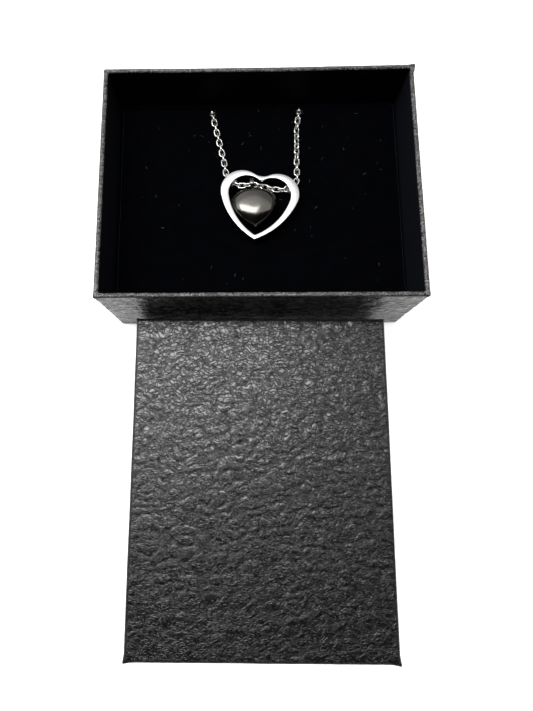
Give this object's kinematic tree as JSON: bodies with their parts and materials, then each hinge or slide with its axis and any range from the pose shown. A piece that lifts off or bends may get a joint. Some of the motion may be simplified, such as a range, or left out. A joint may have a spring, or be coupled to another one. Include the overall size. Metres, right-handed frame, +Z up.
{
  "type": "heart urn pendant necklace in a gift box",
  "caption": "Small black heart urn on a steel cable chain inside an open heart frame, lying on the velvet pad of an open gift box with its lift-off lid beside it.",
  "frame": {"origin": "on the table under the middle of the whole layout, between the tray and its lid", "axes": "+Z up, +Y from the lid towards the back of the tray, +X to the right as the necklace is seen"},
  "size_m": [0.09, 0.1666, 0.03],
  "materials": {
    "box_card": "black embossed paper on card",
    "velvet": "near-black velvet",
    "frame_steel": "satin face, polished sides",
    "black_plate": "glossy black plating on steel",
    "chain_steel": "polished"
  },
  "bodies": {
    "root": {"tray": "box_card", "lid": "box_card", "pad": "velvet", "frame_heart": "frame_steel", "urn_heart": "black_plate", "bail": "black_plate", "chain_left": "chain_steel", "chain_right": "chain_steel", "clasp": "chain_steel"}
  },
  "joints": []
}
